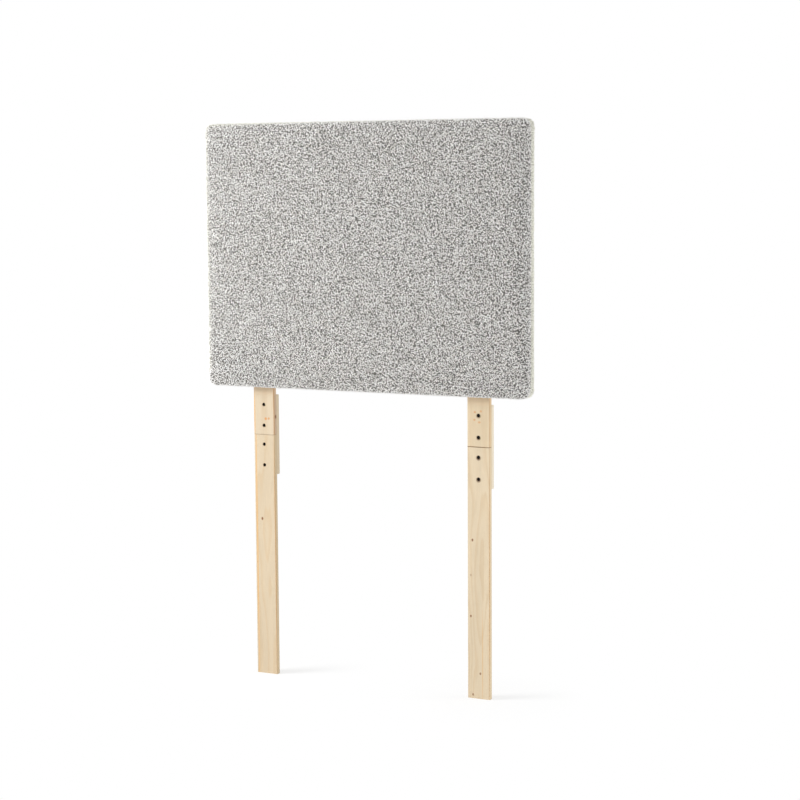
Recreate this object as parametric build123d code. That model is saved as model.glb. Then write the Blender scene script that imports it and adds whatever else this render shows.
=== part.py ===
from build123d import *
import math
import os

# Upholstered headboard on two strut legs, in millimetres.
# The front faces -Y, +Z is up, and the origin is on the floor, in the middle of the
# bounding box. "Depth" is measured from the crest of the padded front towards the wall.

# Panel
panel_width = 900.0
panel_height = 680.0
panel_corner = 19.0
front_roll = 13.0
front_corner = 8.0
crown = 5.0
crown_width = 40.0
crown_corner = 12.0
roll_steps = 4

# Layers of the panel, from the front to the back
cover_thick = 2.0
wadding_thick = 3.0
foam_thick = 25.0
board_thick = 3.0
timber_thick = 14.0
lining_thick = 0.6

# Timber frame
rail_width = 45.0
middle_rail_height_share = 0.5

# Struts: uprights whose stubs hang below the panel, and lower legs
leg_width = 60.0
leg_inset = 142.0
lower_leg_length = 640.0
arris = 1.2
butt_gap = 0.4

# Splice plates behind the butt joints
plate_length = 210.0
plate_thick = 14.0
plate_drop = 24.0

# Bolts, washers and threaded inserts of the splices
bolt_dia = 6.0
bolt_length = 25.0
bolt_to_joint = 25.0
bolt_to_end = 25.0
bore_dia = 7.0
head_dia = 10.5
head_height = 3.3
head_bevel = 1.8
hardware_flat_count = 16
socket_across_flats = 4.0
socket_depth = 2.0
washer_dia = 18.0
washer_bore = 6.4
washer_thick = 1.5
insert_dia = 9.0
insert_length = 12.0

# Cover and lining on the back
return_width = 30.0
slit_clearance = 0.5
lining_inset = 12.0
hem_width = 12.0
hem_corner = 4.0

# Staples of flat wire
staple_crown = 10.0
staple_wire = 0.6
staple_wire_width = 1.2
staple_leg = 8.0
board_staple_leg = 14.0
cover_staple_inset = 26.5
cover_staple_pitch = 58.0
lining_staple_inset = 18.0
lining_staple_pitch = 75.0
board_staple_inset = 22.0
board_staple_pitch = 130.0

# Corrugated fasteners across the joints of the frame
wave_length = 25.0
wave_depth = 10.0
wave_height = 3.0
wave_sheet = 0.7
wave_count = 3
wave_offset_share = 0.27

# Depths at which one layer ends and the next begins
wadding_front = cover_thick
foam_front = wadding_front + wadding_thick
board_front = foam_front + foam_thick
timber_front = board_front + board_thick
timber_back = timber_front + timber_thick
return_back = timber_back + cover_thick
hem_back = return_back + lining_thick
lining_back = hem_back + lining_thick
plate_back = timber_back + plate_thick
washer_back = plate_back + washer_thick
overall_depth = washer_back + head_height

# Heights above the floor
stub_length = plate_length / 2 + plate_drop
stub_foot = lower_leg_length + butt_gap
joint_height = lower_leg_length + butt_gap / 2
panel_foot = stub_foot + stub_length
panel_top = panel_foot + panel_height
panel_middle = (panel_foot + panel_top) / 2

# Timber frame inside the wadding and the cover
skin = cover_thick + wadding_thick
frame_width = panel_width - 2 * skin
frame_height = panel_height - 2 * skin
frame_corner = panel_corner - skin
frame_foot = panel_foot + skin
frame_top = panel_top - skin
top_joint = frame_top - rail_width
foot_joint = frame_foot + rail_width
middle_rail_foot = frame_foot + frame_height * middle_rail_height_share - rail_width / 2
leg_centre = panel_width / 2 - leg_inset
leg_inner = leg_centre - leg_width / 2
leg_outer = leg_centre + leg_width / 2

# The padded front is flat in the middle and falls towards its rolled edge, which ends on the
# straight side
roll = min(front_roll, board_front - crown)
side_depth = crown + roll

SIDES = (("left", -1), ("right", 1))


def y_at(depth):
    return depth - overall_depth / 2


def block(x0, x1, depth0, depth1, z0, z1):
    centre = Pos((x0 + x1) / 2, y_at((depth0 + depth1) / 2), (z0 + z1) / 2)
    return centre * Box(abs(x1 - x0), depth1 - depth0, z1 - z0)


def facing_front(depth, x=0, z=0):
    """Drawing plane at a depth, seen from the front, with its normal towards the front."""
    return Plane(origin=(x, y_at(depth), z), x_dir=(1, 0, 0), z_dir=(0, -1, 0))


def slab(outline, depth0, depth1):
    """Outline centred on the panel, thick from depth0 to depth1."""
    return extrude(facing_front(depth1, z=panel_middle) * outline, amount=depth1 - depth0)


def panel_outline(inset, corner):
    return RectangleRounded(panel_width - 2 * inset, panel_height - 2 * inset, corner)


def front_profile(skin_off):
    """Sections of the padded front, skin_off under the cover's face: set-in, depth and corner."""
    profile = [(crown_width, skin_off, crown_corner)]
    radius = roll - skin_off
    corner = panel_corner - skin_off - front_corner
    for i in range(roll_steps + 1):
        turn = math.radians(90 * i / roll_steps)
        profile.append((
            roll - radius * math.sin(turn),
            side_depth - radius * math.cos(turn),
            front_corner + corner * math.sin(turn),
        ))
    return profile


def padded_form(skin_off, depth_back):
    """Panel skin_off under the cover's face: crowned front, rolled edge and straight sides."""
    sections = [
        facing_front(depth, z=panel_middle) * panel_outline(inset, corner)
        for inset, depth, corner in reversed(front_profile(skin_off))
    ]
    sides = slab(panel_outline(skin_off, panel_corner - skin_off), side_depth, depth_back)
    return sides + loft(sections, ruled=True)


def stub_slits(depth_back, reach):
    """Openings round the two stubs where they pass through the panel's lower edge."""
    half = leg_width / 2 + slit_clearance
    front = timber_front - slit_clearance
    foot = panel_foot - slit_clearance
    return [
        block(side * leg_centre - half, side * leg_centre + half, front, depth_back, foot, panel_foot + reach)
        for _, side in SIDES
    ]


def make_fabric_cover():
    cover = padded_form(0, return_back)
    back = cover.faces().sort_by(Axis.Y)[-1]
    cover = chamfer(back.edges(), cover_thick)
    cover -= padded_form(wadding_front, timber_back)
    window = RectangleRounded(
        panel_width - 2 * return_width, panel_height - 2 * return_width, hem_corner)
    cover -= slab(window, timber_back, return_back + slit_clearance)
    return cover - stub_slits(return_back + slit_clearance, return_width)


def make_wadding():
    wadding = padded_form(wadding_front, timber_back) - padded_form(foam_front, timber_back)
    return wadding - stub_slits(timber_back + slit_clearance, skin)


def make_foam_pad():
    return padded_form(foam_front, board_front)


def frame_outline():
    return RectangleRounded(frame_width, frame_height, frame_corner)


def make_front_board():
    return slab(frame_outline(), board_front, timber_front)


def timber(x0, x1, z0, z1):
    """Length of batten in the frame's layer, rounded where it meets the frame's corners."""
    piece = block(x0, x1, timber_front, timber_back, z0, z1)
    return piece & slab(frame_outline(), timber_front, timber_back)


def make_frame():
    edge = frame_width / 2
    pieces = {
        "top_rail": timber(-edge, edge, top_joint, frame_top),
        "bottom_rail_middle": timber(-leg_inner, leg_inner, frame_foot, foot_joint),
        "middle_rail": timber(-leg_inner, leg_inner, middle_rail_foot, middle_rail_foot + rail_width),
    }
    for name, side in SIDES:
        pieces["bottom_rail_" + name] = timber(side * edge, side * leg_outer, frame_foot, foot_joint)
        pieces["end_stile_" + name] = timber(side * edge, side * (edge - rail_width), foot_joint, top_joint)
    return pieces


def bolt_heights():
    """Heights of the four bolts of a splice: two below the joint and two above it."""
    offsets = (bolt_to_joint, plate_length / 2 - bolt_to_end)
    return sorted(joint_height + way * offset for way in (-1, 1) for offset in offsets)


def across(depth0, depth1, x, z, radius):
    """Round bar along the depth."""
    return extrude(facing_front(depth1, x, z) * Circle(radius), amount=depth1 - depth0)


def turned(depth0, depth1, x, z, radius):
    """Small turned bar along the depth, with a few flats for its round."""
    flats = RegularPolygon(radius, hardware_flat_count)
    return extrude(facing_front(depth1, x, z) * flats, amount=depth1 - depth0)


def strut_bore(x, z):
    """Bore right through a strut, as wide as the insert that is driven in from the back."""
    return across(timber_front, timber_back, x, z, insert_dia / 2)


def batten(x, depth0, depth1, z0, z1):
    """Planed batten with its long edges eased."""
    piece = block(x - leg_width / 2, x + leg_width / 2, depth0, depth1, z0, z1)
    return fillet(piece.edges().filter_by(Axis.Z), arris)


def make_upright(side):
    x = side * leg_centre
    piece = batten(x, timber_front, timber_back, stub_foot, top_joint)
    return piece - [strut_bore(x, z) for z in bolt_heights() if z > joint_height]


def make_lower_leg(side):
    x = side * leg_centre
    piece = batten(x, timber_front, timber_back, 0, lower_leg_length)
    return piece - [strut_bore(x, z) for z in bolt_heights() if z < joint_height]


def make_splice_plate(side):
    x = side * leg_centre
    half = plate_length / 2
    piece = batten(x, timber_back, plate_back, joint_height - half, joint_height + half)
    return piece - [across(timber_back, plate_back, x, z, bore_dia / 2) for z in bolt_heights()]


def splice_places():
    return [(side * leg_centre, z) for _, side in SIDES for z in bolt_heights()]


def make_bolt(x, z):
    """Bolt from the back, with a button head and a hexagon socket."""
    head = turned(washer_back, overall_depth, x, z, head_dia / 2)
    head = chamfer(head.faces().sort_by(Axis.Y)[-1].edges(), head_bevel)
    hexagon = RegularPolygon(socket_across_flats / 2, 6, major_radius=False)
    socket = extrude(facing_front(overall_depth, x, z) * hexagon, amount=socket_depth)
    shank = turned(washer_back - bolt_length, washer_back, x, z, bolt_dia / 2)
    return head - socket + shank


def make_washer(x, z):
    return (turned(plate_back, washer_back, x, z, washer_dia / 2)
            - turned(plate_back, washer_back, x, z, washer_bore / 2))


def make_insert(x, z):
    front = timber_back - insert_length
    return (turned(front, timber_back, x, z, insert_dia / 2)
            - turned(front, timber_back, x, z, bolt_dia / 2))


def make_back_lining():
    """Thin sheet over the back, its edge folded under as a hem."""
    width = panel_width - 2 * lining_inset
    height = panel_height - 2 * lining_inset
    hem = Rectangle(width, height) - Rectangle(width - 2 * hem_width, height - 2 * hem_width)
    return slab(Rectangle(width, height), hem_back, lining_back) + slab(hem, return_back, hem_back)


def staple(leg):
    """Staple lying in the XY plane: the crown along X, its outer face at Y = 0, legs towards -Y."""
    half = staple_crown / 2
    inner = half - staple_wire
    points = [
        (-half, 0), (half, 0), (half, -leg), (inner, -leg), (inner, -staple_wire),
        (-inner, -staple_wire), (-inner, -leg), (-half, -leg),
    ]
    return extrude(make_face(Polyline(*points, close=True)), amount=staple_wire_width / 2, both=True)


def around(inset, pitch):
    """Places along a rectangle set in from the panel's edge: x, z and the turn of a crown."""
    width = panel_width - 2 * inset
    height = panel_height - 2 * inset
    across_count = max(1, round(width / pitch))
    up_count = max(1, round(height / pitch))
    places = []
    for way in (-1, 1):
        for i in range(across_count):
            x = ((i + 0.5) / across_count - 0.5) * width
            places.append((x, panel_middle + way * height / 2, 0))
        for i in range(up_count):
            z = ((i + 0.5) / up_count - 0.5) * height
            places.append((way * width / 2, panel_middle + z, 90))
    return places


def set_staples(places, crown_depth, leg, points_front=True):
    """Staples with their crown's outer face at a depth, legs towards the front or the back."""
    shape = staple(leg) if points_front else Rot(0, 0, 180) * staple(leg)
    return [Pos(x, y_at(crown_depth), z) * Rot(0, turn, 0) * shape for x, z, turn in places]


def make_cover_staples():
    clear = leg_width / 2 + slit_clearance + staple_crown
    places = [
        (x, z, turn) for x, z, turn in around(cover_staple_inset, cover_staple_pitch)
        if z > panel_foot + return_width or abs(abs(x) - leg_centre) > clear
    ]
    return set_staples(places, return_back + staple_wire, staple_leg)


def make_lining_staples():
    places = around(lining_staple_inset, lining_staple_pitch)
    return set_staples(places, lining_back + staple_wire, staple_leg)


def make_board_staples():
    """Driven flush into the face of the board, so the foam lies flat on them."""
    places = around(board_staple_inset, board_staple_pitch)
    return set_staples(places, board_front, board_staple_leg, points_front=False)


def corrugated_fastener():
    """Wavy strip along X, its edge in the plane Y = 0, driven in towards -Y."""
    steps = 2 * wave_count
    crest = (wave_height - wave_sheet) / 2
    upper = [
        ((i / steps - 0.5) * wave_length, crest * (-1) ** i + wave_sheet / 2)
        for i in range(steps + 1)
    ]
    lower = [(x, z - wave_sheet) for x, z in reversed(upper)]
    strip = make_face(Plane.XZ * Polyline(*(upper + lower), close=True))
    return extrude(strip, amount=wave_depth, dir=(0, -1, 0))


def frame_joints():
    """Joints of the frame: x, z, turn of the strip across the joint, width of the joint."""
    stile = (frame_width - rail_width) / 2
    rail = frame_foot + rail_width / 2
    middle = middle_rail_foot + rail_width / 2
    joints = []
    for _, side in SIDES:
        joints += [
            (side * stile, top_joint, 90, rail_width),
            (side * stile, foot_joint, 90, rail_width),
            (side * leg_centre, top_joint, 90, leg_width),
            (side * leg_outer, rail, 0, rail_width),
            (side * leg_inner, rail, 0, rail_width),
            (side * leg_inner, middle, 0, rail_width),
        ]
    return joints


def make_frame_fasteners():
    strip = corrugated_fastener()
    made = []
    for x, z, turn, width in frame_joints():
        for way in (-1, 1):
            shift = way * width * wave_offset_share
            dx, dz = (shift, 0) if turn else (0, shift)
            made.append(Pos(x + dx, y_at(timber_back), z + dz) * Rot(0, turn, 0) * strip)
    return made


def make_all():
    nodes = {
        "fabric_cover": make_fabric_cover(),
        "wadding": make_wadding(),
        "foam_pad": make_foam_pad(),
        "front_board": make_front_board(),
    }
    nodes.update(make_frame())
    for name, side in SIDES:
        nodes["upright_" + name] = make_upright(side)
        nodes["lower_leg_" + name] = make_lower_leg(side)
        nodes["splice_plate_" + name] = make_splice_plate(side)
    nodes["splice_bolts"] = [make_bolt(x, z) for x, z in splice_places()]
    nodes["splice_washers"] = [make_washer(x, z) for x, z in splice_places()]
    nodes["threaded_inserts"] = [make_insert(x, z) for x, z in splice_places()]
    nodes["back_lining"] = make_back_lining()
    nodes["cover_staples"] = make_cover_staples()
    nodes["lining_staples"] = make_lining_staples()
    nodes["board_staples"] = make_board_staples()
    nodes["frame_fasteners"] = make_frame_fasteners()
    return nodes


def solids_of(made):
    if isinstance(made, list):
        return [solid for piece in made for solid in piece.solids()]
    return made.solids()


os.makedirs("parts", exist_ok=True)
for node, made in make_all().items():
    solids = solids_of(made)
    export_step(solids[0] if len(solids) == 1 else Compound(solids), "parts/" + node + ".step")
    print(node, len(solids))
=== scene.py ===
# %% [markdown]
# # A padded headboard on two strut legs
# The headboard is a flat panel in looped-yarn fabric on two pine struts. Each strut is an
# upright that runs up inside the panel and leaves a stub below it, a lower leg butted under
# the stub and a splice plate bolted behind the joint. The timber already has its true shape in
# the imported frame, so it only gets its finish here. The soft layers are made new, because cloth
# is what a solid modeller can't show: it swells, its yarn curls up, and it is pulled down by
# its staples.

import math

import bmesh
import bpy
import numpy as np
from mathutils import Matrix, Vector


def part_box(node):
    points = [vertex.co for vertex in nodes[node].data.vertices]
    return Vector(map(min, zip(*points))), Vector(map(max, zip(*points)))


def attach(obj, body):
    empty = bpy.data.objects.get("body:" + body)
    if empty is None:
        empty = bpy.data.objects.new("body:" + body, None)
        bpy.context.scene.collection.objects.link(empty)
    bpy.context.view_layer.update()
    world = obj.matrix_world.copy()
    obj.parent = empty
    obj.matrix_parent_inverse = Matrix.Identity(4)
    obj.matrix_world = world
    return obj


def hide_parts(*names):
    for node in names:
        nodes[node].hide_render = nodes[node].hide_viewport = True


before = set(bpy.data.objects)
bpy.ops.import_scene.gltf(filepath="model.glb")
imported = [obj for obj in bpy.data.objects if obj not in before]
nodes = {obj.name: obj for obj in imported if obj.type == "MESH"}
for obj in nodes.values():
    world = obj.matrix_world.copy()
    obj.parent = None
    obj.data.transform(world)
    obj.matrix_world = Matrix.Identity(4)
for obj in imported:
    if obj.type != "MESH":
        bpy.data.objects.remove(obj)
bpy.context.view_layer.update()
MM = 0.001

# %% [markdown]
# ## Helpers
# Colours are written as the sRGB hex values that a picture editor shows, and Blender's sockets
# want linear light, so one function turns one into the other. Another adds a node to a tree
# with its settings and its inputs, where an input is a value, a node or one of its outputs.
# Two more start a material and end it, because those of the headboard all begin with the place
# on the piece and end in a surface with a fine relief. A short one puts an object into the scene.


# %% Colour and node helpers
def linear(hex_colour):
    """sRGB hex, such as "EBD9BC", to the linear colour that a socket takes."""
    srgb = [int(hex_colour[i:i + 2], 16) / 255 for i in (0, 2, 4)]
    return [c / 12.92 if c <= 0.04045 else ((c + 0.055) / 1.055) ** 2.4 for c in srgb] + [1.0]


def add(tree, kind, inputs=None, **settings):
    """New node with its settings, and its inputs as values, or as nodes or outputs to link."""
    node = tree.nodes.new(kind)
    for name, value in settings.items():
        setattr(node, name, value)
    for key, value in (inputs or {}).items():
        named = [s for s in node.inputs if s.enabled and s.name == key]
        socket = named[0] if named else node.inputs[key]
        if isinstance(value, bpy.types.Node):
            value = [s for s in value.outputs if s.enabled][0]
        if isinstance(value, bpy.types.NodeSocket):
            tree.links.new(value, socket)
        else:
            socket.default_value = value
    return node


def start_material(name):
    """New material and its tree, which holds nothing yet but the place on the piece."""
    material = bpy.data.materials.new(name)
    material.use_nodes = True
    tree = material.node_tree
    tree.nodes.clear()
    print("material:", name)
    return material, tree, add(tree, "ShaderNodeTexCoord").outputs["Object"]


def end_material(tree, colour, height, relief_mm, strength, values):
    """Ends a material's tree: fine relief from a height, on a surface with the given values."""
    bump = add(tree, "ShaderNodeBump", {
        "Height": height, "Distance": relief_mm * MM, "Strength": strength})
    shader = add(tree, "ShaderNodeBsdfPrincipled", {"Base Color": colour, "Normal": bump, **values})
    add(tree, "ShaderNodeOutputMaterial", {"Surface": shader})


def in_scene(name, data):
    """New object made from a mesh, a lamp or a camera, put into the scene."""
    made = bpy.data.objects.new(name, data)
    bpy.context.scene.collection.objects.link(made)
    return made


# %% [markdown]
# ## Camera
# The photograph shows the front and a narrow strip of the right side, from a little above the
# middle. The camera stands about five metres away with a long lens, which is how a catalogue
# picture keeps upright lines upright. Its place and its turns were found by matching the
# outline of the panel, the joints and the feet with the photograph's.

# %% Camera
CAMERA_PLACE_MM = (2277.3, -4401.9, 1302.3)
CAMERA_YAW, CAMERA_PITCH, CAMERA_ROLL = 26.411, 6.417, -0.366
FOCAL_PIXELS = 1954.27
IMAGE_PIXELS = 800
SENSOR_MM = 36.0

yaw, pitch, roll = (math.radians(a) for a in (CAMERA_YAW, CAMERA_PITCH, CAMERA_ROLL))
aim = Vector((-math.sin(yaw) * math.cos(pitch), math.cos(yaw) * math.cos(pitch), -math.sin(pitch)))
level = Vector((math.cos(yaw), math.sin(yaw), 0))
below = aim.cross(level)
right = level * math.cos(roll) - below * math.sin(roll)
below = level * math.sin(roll) + below * math.cos(roll)
camera_data = bpy.data.cameras.new("camera")
camera_data.sensor_width = SENSOR_MM
camera_data.lens = SENSOR_MM * FOCAL_PIXELS / IMAGE_PIXELS
camera = in_scene("camera", camera_data)
turn = Matrix((right, -below, -aim)).transposed().to_4x4()
camera.matrix_world = Matrix.Translation(Vector(CAMERA_PLACE_MM) * MM) @ turn
bpy.context.scene.camera = camera
bpy.context.scene.view_settings.view_transform = "Standard"
print("lens:", round(camera_data.lens, 1), "mm")

# %% [markdown]
# ## Floor, background and light
# A catalogue picture is lit by large soft sources in a white room. The world gives the even
# part of that light. Two broad lamps give the rest: a stronger one that stands in front on the
# left, and a weaker, wider one on the right, a little behind the panel. The floor is an
# ordinary pale surface near the feet, where it has to take their shadow. Farther out it shows
# as plain white, so that no horizon crosses the picture.

# %% World and lamps
AMBIENT = 0.57
WHITE = [1, 1, 1, 1]

world = bpy.data.worlds.new("white_room")
bpy.context.scene.world = world
world.use_nodes = True
tree = world.node_tree
tree.nodes.clear()
rays = add(tree, "ShaderNodeLightPath").outputs
seen = add(tree, "ShaderNodeMath", {0: rays["Is Camera Ray"], 1: rays["Is Glossy Ray"]},
           operation="MAXIMUM")
seen = add(tree, "ShaderNodeMath", {0: seen, 1: rays["Is Transmission Ray"]}, operation="MAXIMUM")
lights = add(tree, "ShaderNodeBackground", {"Color": WHITE, "Strength": AMBIENT})
shows = add(tree, "ShaderNodeBackground", {"Color": WHITE, "Strength": 1.0})
room = add(tree, "ShaderNodeMixShader", {0: seen, 1: lights, 2: shows})
add(tree, "ShaderNodeOutputWorld", {"Surface": room})


def soft_lamp(name, place, target, size, watts):
    """Square lamp at a place, turned to its target, all in metres."""
    data = bpy.data.lights.new(name, "AREA")
    data.shape, data.size, data.energy = "SQUARE", size, watts
    lamp = in_scene(name, data)
    lamp.location = place
    lamp.rotation_euler = (Vector(target) - Vector(place)).to_track_quat("-Z", "Y").to_euler()


soft_lamp("left_window", place=(-2.6, -1.8, 2.2), target=(-0.2, 0, 1.0), size=1.2, watts=112)
soft_lamp("right_bounce", place=(3.4, 0.6, 1.6), target=(0.2, 0, 0.9), size=2.4, watts=45)
print("lamps:", [lamp.name for lamp in bpy.data.lights])

# %% Floor
FLOOR_REACH = 9.0
FLOOR_COLOUR = "F6F6F6"
LEG_X = 308.0
SHADOW_NEAR, SHADOW_FAR = 0.04, 0.30
SHADOW_PALER = 0.70

floor_mesh = bpy.data.meshes.new("floor")
floor_corners = [(x * FLOOR_REACH, y * FLOOR_REACH, 0) for x, y in ((-1, -1), (1, -1), (1, 1), (-1, 1))]
floor_mesh.from_pydata(floor_corners, [], [(0, 1, 2, 3)])
floor = in_scene("floor", floor_mesh)
floor_paint, tree, place = start_material("white_floor")
# The two feet are mirror images, so the distance to the nearer one needs only x without its sign.
folded = add(tree, "ShaderNodeVectorMath", {0: place}, operation="ABSOLUTE")
away = add(tree, "ShaderNodeVectorMath", {0: folded, 1: (LEG_X * MM, 0, 0)}, operation="DISTANCE")
far = add(tree, "ShaderNodeMapRange", {
    "Value": away.outputs["Value"], "From Min": SHADOW_NEAR, "From Max": SHADOW_FAR,
    "To Min": SHADOW_PALER, "To Max": 1.0}, interpolation_type="SMOOTHSTEP")
rays = add(tree, "ShaderNodeLightPath").outputs
seen = add(tree, "ShaderNodeMath", {0: rays["Is Camera Ray"], 1: rays["Is Glossy Ray"]},
           operation="MAXIMUM")
fades = add(tree, "ShaderNodeMath", {0: seen, 1: far}, operation="MULTIPLY")
matt = add(tree, "ShaderNodeBsdfDiffuse", {"Color": linear(FLOOR_COLOUR)})
plain = add(tree, "ShaderNodeEmission", {"Color": WHITE, "Strength": 1.0})
paint = add(tree, "ShaderNodeMixShader", {0: fades, 1: matt, 2: plain})
add(tree, "ShaderNodeOutputMaterial", {"Surface": paint})
floor.data.materials.append(floor_paint)

# %% [markdown]
# ## Shape of the panel
# All soft layers follow one form: flat in the middle, falling a little towards the edge, then
# rolled over onto straight sides. The fall and the roll are the cloth's under its yarn, so they
# are tighter than those of the solid model, which stands for cloth and yarn together. A grid
# covers the flat middle. Round it lie rings, each a rectangle with rounded corners, set in from
# the edge and back from the front. The grid's rim and every ring have the same number of
# points, so the rings join up in clean quads that follow the threads of the cloth, which
# matters when it is simulated.

# %% Sizes of the panel
low, high = (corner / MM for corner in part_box("fabric_cover"))
WIDTH, HEIGHT = high.x - low.x, high.z - low.z
MIDDLE_Z, FRONT_Y, RETURN_DEPTH = (high.z + low.z) / 2, low.y, high.y - low.y
CORNER, FRONT_CORNER, CROWN_CORNER = 19.0, 8.0, 6.0
# how far the front falls, where the fall begins and how it steepens, and the roll's radius
CROWN, CROWN_START, CROWN_BEND, ROLL = 4.5, 42.0, 1.7, 8.0
# the rings on the fall, by their inset, and how far inside the first of them the grid ends
CROWN_INSETS, GRID_MARGIN = (CROWN_START, 36.0, 30.0, 24.0, 18.0, 13.0), 8.0
SIDE_DEPTH = CROWN + ROLL
CORNER_STEPS = 4
BACK_SHRINK = 0.99

print("panel:", round(WIDTH), "x", round(HEIGHT), "mm, return at depth", round(RETURN_DEPTH, 1))


# %% Rings and grid
def ring(inset, depth, corner, across_steps, up_steps):
    """Points round the panel, in mm: set in from its edge, at a depth from its front."""
    half = np.array([WIDTH / 2 - inset, HEIGHT / 2 - inset])
    # the signs of x and z at each corner, and the angle of its middle in degrees
    corners = [(-1, -1, 225), (1, -1, 315), (1, 1, 45), (-1, 1, 135)]
    points = []
    for side in range(4):
        ends = []
        for (sx, sz, angle), way in ((corners[side], 1), (corners[(side + 1) % 4], -1)):
            centre = np.array([sx, sz]) * (half - corner)
            turns = [math.radians(angle + way * 45 * i / CORNER_STEPS) for i in range(CORNER_STEPS + 1)]
            ends.append([centre + corner * np.array([math.cos(t), math.sin(t)]) for t in turns])
        first, last = ends[0], ends[1][::-1]
        straight = (across_steps if side % 2 == 0 else up_steps) - 2 * CORNER_STEPS
        run = [first[-1] + (last[0] - first[-1]) * i / straight for i in range(1, straight)]
        points += first + run + last[:-1]
    points = np.array(points)
    depths = np.full(len(points), FRONT_Y + depth)
    return np.column_stack([points[:, 0], depths, MIDDLE_Z + points[:, 1]])


def rim_walk(nx, nz):
    """Column and row of each place round the rim of a grid, in turn."""
    walk = [(i, 0) for i in range(nx)] + [(nx, j) for j in range(nz)]
    return walk + [(i, nz) for i in range(nx, 0, -1)] + [(0, j) for j in range(nz, 0, -1)]


def soft_piece(name, points, faces):
    """Smooth piece made of points in mm and faces, put into the scene."""
    mesh = bpy.data.meshes.new(name)
    mesh.from_pydata((np.asarray(points) * MM).tolist(), [], faces)
    mesh.validate()
    mesh.polygons.foreach_set("use_smooth", [True] * len(mesh.polygons))
    return in_scene(name, mesh)


def panel_piece(name, rings, cell, closed=False):
    """Grid over the flat middle, then rings from the inside out, each an inset, depth and corner.
    A closed piece has the grid's inner places again, a touch closer together, over its back."""
    inset, depth, _ = rings[0]
    nx, nz = round((WIDTH - 2 * inset) / cell), round((HEIGHT - 2 * inset) / cell)
    xs = np.linspace(-1, 1, nx + 1) * (WIDTH / 2 - inset)
    zs = np.linspace(-1, 1, nz + 1) * (HEIGHT / 2 - inset)
    walk = rim_walk(nx, nz)
    cells = [(i, j) for j in range(nz) for i in range(nx)]
    points = [np.array([(x, FRONT_Y + depth, MIDDLE_Z + z) for z in zs for x in xs])]
    front = {(i, j): j * (nx + 1) + i for j in range(nz + 1) for i in range(nx + 1)}
    faces = [(front[i, j], front[i + 1, j], front[i + 1, j + 1], front[i, j + 1]) for i, j in cells]
    rim, count = [front[ij] for ij in walk], len(front)
    for inset, depth, corner in rings[1:]:
        points.append(ring(inset, depth, corner, nx, nz))
        new = list(range(count, count + len(rim)))
        faces += [(rim[k - 1], new[k - 1], new[k], rim[k]) for k in range(len(rim))]
        rim, count = new, count + len(rim)
    if closed:
        back = {ij: rim[k] for k, ij in enumerate(walk)}
        inner = [ij for ij in front if ij not in back]
        back.update({ij: count + k for k, ij in enumerate(inner)})
        points.append(np.array([(xs[i] * BACK_SHRINK, FRONT_Y + depth, MIDDLE_Z + zs[j] * BACK_SHRINK)
                                for i, j in inner]))
        faces += [(back[i, j], back[i, j + 1], back[i + 1, j + 1], back[i + 1, j]) for i, j in cells]
    return soft_piece(name, np.concatenate(points), faces)


def front_rings(under, roll_steps=6):
    """Rings of the padded front, a few mm beneath the finished face, down to the straight side."""
    rings = [(CROWN_START + GRID_MARGIN, under, 0.0)]
    for inset in CROWN_INSETS:
        fall = ((CROWN_START - inset) / (CROWN_START - ROLL)) ** CROWN_BEND
        corner = CROWN_CORNER + (FRONT_CORNER - CROWN_CORNER) * fall
        rings.append((inset, under + CROWN * fall, corner))
    for i in range(roll_steps + 1):
        turn = math.radians(90 * i / roll_steps)
        inset = ROLL - (ROLL - under) * math.sin(turn)
        corner = FRONT_CORNER + (CORNER - under - FRONT_CORNER) * math.sin(turn)
        rings.append((inset, SIDE_DEPTH - (ROLL - under) * math.cos(turn), corner))
    return rings


# %% Reading and writing a piece's points
def coordinates(piece):
    """Places of a piece's points as an array in mm."""
    found = np.empty(len(piece.data.vertices) * 3)
    piece.data.vertices.foreach_get("co", found)
    return found.reshape(-1, 3) / MM


def move_points(piece, places):
    """Moves a piece's points to the places of an array in mm."""
    piece.data.vertices.foreach_set("co", (places * MM).ravel())


def paint_points(piece, name, values):
    """Gives each point of a piece a number that trees and materials read by its name."""
    piece.data.attributes.new(name, "FLOAT", "POINT").data.foreach_set("value", values)


def bake_modifiers(piece):
    """Turns a piece with its modifiers into a plain mesh."""
    seen = piece.evaluated_get(bpy.context.evaluated_depsgraph_get())
    mesh = bpy.data.meshes.new_from_object(seen)
    piece.modifiers.clear()
    piece.data = mesh


# %% [markdown]
# ## Ground cloth of the cover
# The cover is one cut of looped fabric, laid over the padding, pulled round the sides and
# stapled behind. Its ground cloth is made first, as a sheet of quads just under the finished
# face. The padding swells past the frame, in the photograph more on the left than on the
# right, and the cover hangs a little low, so the sheet is widened and lowered by as much. A
# short cloth simulation then lets it swell against its staples: the part behind is held fast
# and the rolled edge nearly so, air pressure stands in for the padding, and a cap keeps every
# point within 1.5 mm, because the real front is pulled flat.

# %% Ground cloth before it is pulled tight
GROUND_UNDER = 0.3
GROUND_CELL = 11.0
SIDE_DEPTHS = (16, 22, 28, 34, 40, 45)
BEHIND_UNDER = 0.4
# the two rings that turn behind: how much farther in, how far short of the back, how much tighter
TURN_RINGS = ((0.4, 1.4, 2.5), (1.6, 0.3, 4.0))
BEHIND_INSETS = (6.5, 12, 18, 24, 30)
WINDOW_CORNER = 4.0

rings = front_rings(GROUND_UNDER)
rings += [(GROUND_UNDER, depth, CORNER - GROUND_UNDER) for depth in SIDE_DEPTHS]
behind = RETURN_DEPTH - BEHIND_UNDER
rings += [(GROUND_UNDER + more, behind - short, CORNER - tight) for more, short, tight in TURN_RINGS]
rings += [(inset, behind, max(CORNER - inset, WINDOW_CORNER)) for inset in BEHIND_INSETS]
cover = panel_piece("looped_cover", rings, GROUND_CELL)
print("ground cloth:", len(cover.data.polygons), "quads")

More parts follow.
